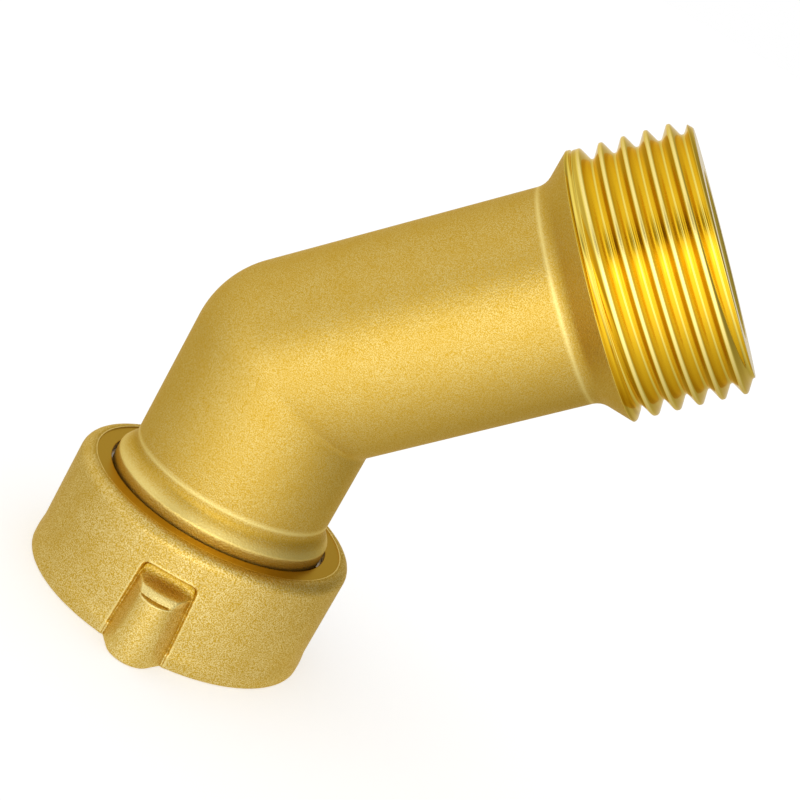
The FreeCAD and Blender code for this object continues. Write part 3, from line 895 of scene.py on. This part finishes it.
def plain_material(name, colour, rough, metallic, scale, depth):
    """Even finish with a fine grain in its colour, roughness and surface."""
    material = bpy.data.materials.new(name)
    material.use_nodes = True
    tree = material.node_tree
    shader = next(item for item in tree.nodes if item.type == "BSDF_PRINCIPLED")
    shader.inputs["Metallic"].default_value = metallic
    grain = noise(tree, node(tree, "ShaderNodeTexCoord").outputs["Object"], scale, PLAIN_DETAIL)
    darker = (*[part * PLAIN_DARKER for part in colour], 1)
    lighter = (*[min(part * PLAIN_LIGHTER, 1) for part in colour], 1)
    tree.links.new(mixed(tree, grain, darker, lighter), shader.inputs["Base Color"])
    grain_rough = ranged(tree, grain, 0.0, 1.0, rough - PLAIN_ROUGH_SPAN, rough + PLAIN_ROUGH_SPAN)
    tree.links.new(grain_rough, shader.inputs["Roughness"])
    bumped(tree, shader, grain, depth, PLAIN_BUMP)
    return material


def dress_node(name, material):
    """Give a node of the frame a material of its own."""
    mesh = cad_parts[name].data
    mesh.materials.clear()
    mesh.materials.append(material)


dress_node("retaining_ring", plain_material("spring_wire", (0.58, 0.58, 0.58), 0.32, 1.0, 2500.0, 0.2))
dress_node("hose_washer", plain_material("black_rubber", (0.035, 0.035, 0.036), 0.62, 0.0, 1800.0, 0.35))

# Camera. It stands where the photograph's did, and its focal length is given in pixels.

VIEW = Vector((-0.03879, 0.96441, -0.26155))
RIGHT = Vector((0.86208, 0.16465, 0.47928))
DOWN = Vector((0.50529, -0.20688, -0.83779))
EYE = Vector((17.95, -173.35, 78.54)) * MM
SENSOR = 36.0
FOCAL_PIXELS = 1783.7
PHOTO_PIXELS = 800


def place_camera():
    data = bpy.data.cameras.new("camera")
    data.sensor_width = SENSOR
    data.lens = SENSOR * FOCAL_PIXELS / PHOTO_PIXELS
    data.clip_start = 0.01
    data.clip_end = 50
    camera = bpy.data.objects.new("camera", data)
    bpy.context.scene.collection.objects.link(camera)
    basis = Matrix((RIGHT, -DOWN, -VIEW)).transposed().to_4x4()
    camera.matrix_world = Matrix.Translation(EYE) @ basis
    bpy.context.scene.camera = camera


place_camera()

# Studio round the elbow, seen in reflections. It is an even light that is stronger below, with soft
# lobes, each given by its gain, its direction in the photograph (right, up and towards the camera)
# and its width. It is bright towards the camera, with a dark gap a little above it, and bright
# overhead and behind the elbow. FELT is the strength of the even light on what isn't a reflection.

CENTRE = Vector((12.0, 0, 33.0)) * MM
EVEN = 0.08
LEAST = 0.05
LEAN = -0.107 * RIGHT + 0.406 * DOWN + 0.127 * VIEW
LOBES = (
    (1.89, (-0.052, 0.061, 0.997), 1.08),
    (-1.35, (-0.198, 0.438, 0.877), 0.34),
    (0.93, (-0.220, 0.940, -0.263), 1.06),
    (0.40, (0.0, 0.0, -1.0), 0.50),
)
DIM = 0.35
BRIGHT = 1.25
WARM = (1.0, 0.95, 0.78, 1)
WHITE = (1, 1, 1, 1)
FELT = 0.75


def math_value(tree, kind, *values):
    """Result of a math node, whose inputs are numbers or other nodes' outputs."""
    item = node(tree, "ShaderNodeMath", operation=kind)
    for socket, value in zip(item.inputs, values):
        fill(tree, socket, value)
    return item.outputs[0]


def vector_value(tree, kind, first, second, output):
    """Result of a vector math node on an output and a fixed vector."""
    item = node(tree, "ShaderNodeVectorMath", operation=kind)
    tree.links.new(first, item.inputs[0])
    item.inputs[1].default_value = second
    return item.outputs[output]


def studio_strength(tree, direction):
    """Brightness of the studio in a direction."""
    total = math_value(tree, "ADD", vector_value(tree, "DOT_PRODUCT", direction, LEAN, "Value"), EVEN)
    for gain, (right, up, back), width in LOBES:
        middle = (RIGHT * right - DOWN * up - VIEW * back).normalized()
        apart = vector_value(tree, "DISTANCE", direction, middle, "Value")
        share = math_value(tree, "POWER", math_value(tree, "DIVIDE", apart, width), 2.0)
        lobe = math_value(tree, "EXPONENT", math_value(tree, "MULTIPLY", share, -1.0))
        total = math_value(tree, "MULTIPLY_ADD", lobe, gain, total)
    return math_value(tree, "MAXIMUM", total, LEAST)


def studio_light(tree, kind, direction):
    """Light of the studio: white where it is bright, and a little warmer where it is dim."""
    light = node(tree, kind)
    strength = studio_strength(tree, direction)
    tree.links.new(strength, light.inputs["Strength"])
    share = ranged(tree, strength, DIM, BRIGHT, 0.0, 1.0)
    tree.links.new(mixed(tree, share, WARM, WHITE), light.inputs["Color"])
    return light.outputs[0]


def even_light(tree, strength):
    """White background of one strength."""
    light = node(tree, "ShaderNodeBackground")
    light.inputs["Strength"].default_value = strength
    light.inputs["Color"].default_value = WHITE
    return light.outputs[0]


def make_world():
    """White to the camera, the studio in reflections, and an even light on everything else."""
    world = bpy.data.worlds.new("studio")
    bpy.context.scene.world = world
    world.use_nodes = True
    tree = world.node_tree
    tree.nodes.clear()
    output = node(tree, "ShaderNodeOutputWorld")
    ray = node(tree, "ShaderNodeLightPath")
    shiny = math_value(tree, "MAXIMUM", ray.outputs["Is Glossy Ray"], ray.outputs["Is Transmission Ray"])
    direction = node(tree, "ShaderNodeTexCoord").outputs["Generated"]
    mirrored = studio_light(tree, "ShaderNodeBackground", direction)
    others = mixed_shaders(tree, shiny, even_light(tree, FELT), mirrored)
    both = mixed_shaders(tree, ray.outputs["Is Camera Ray"], others, even_light(tree, 1.0))
    tree.links.new(both, output.inputs["Surface"])


PAPER = (0.80, 0.80, 0.80, 1)
PAPER_LIGHT = 0.46


def pale_paper():
    """Pale floor that keeps its shadow, and that reflections see as part of the studio."""
    material = bpy.data.materials.new("pale_paper")
    material.use_nodes = True
    tree = material.node_tree
    tree.nodes.clear()
    output = node(tree, "ShaderNodeOutputMaterial")
    ray = node(tree, "ShaderNodeLightPath")
    matt = node(tree, "ShaderNodeBsdfDiffuse")
    matt.inputs["Color"].default_value = PAPER
    plain = node(tree, "ShaderNodeEmission")
    plain.inputs["Strength"].default_value = PAPER_LIGHT
    lit = node(tree, "ShaderNodeAddShader")
    tree.links.new(matt.outputs[0], lit.inputs[0])
    tree.links.new(plain.outputs[0], lit.inputs[1])
    position = node(tree, "ShaderNodeNewGeometry").outputs["Position"]
    heading = node(tree, "ShaderNodeVectorMath", operation="NORMALIZE")
    tree.links.new(vector_value(tree, "SUBTRACT", position, CENTRE, "Vector"), heading.inputs[0])
    mirrored = studio_light(tree, "ShaderNodeEmission", heading.outputs[0])
    seen = mixed_shaders(tree, ray.outputs["Is Camera Ray"], matt.outputs[0], lit.outputs[0])
    both = mixed_shaders(tree, ray.outputs["Is Glossy Ray"], seen, mirrored)
    tree.links.new(both, output.inputs["Surface"])
    return material


WIDE = 20.0
FLOOR_DROP = 0.00002


def make_floor():
    mesh = bpy.data.meshes.new("floor")
    corners = [(-WIDE, -WIDE, 0), (WIDE, -WIDE, 0), (WIDE, WIDE, 0), (-WIDE, WIDE, 0)]
    mesh.from_pydata(corners, [], [(0, 1, 2, 3)])
    mesh.materials.append(pale_paper())
    piece = bpy.data.objects.new("floor", mesh)
    piece.location.z = -FLOOR_DROP
    bpy.context.scene.collection.objects.link(piece)
    return piece


make_world()
floor = make_floor()


def softbox(name, right, up, back, size, power):
    """Area light placed by the photograph's directions, aimed at the elbow."""
    data = bpy.data.lights.new(name, "AREA")
    data.shape = "RECTANGLE"
    data.size, data.size_y = size
    data.energy = power
    light = bpy.data.objects.new(name, data)
    place = CENTRE + RIGHT * right - DOWN * up - VIEW * back
    light.location = place
    light.rotation_euler = (CENTRE - place).to_track_quat("-Z", "Y").to_euler()
    bpy.context.scene.collection.objects.link(light)


softbox("key_light", right=-0.06, up=0.08, back=0.60, size=(0.30, 0.30), power=0.15)

bpy.context.scene.view_settings.view_transform = "Standard"
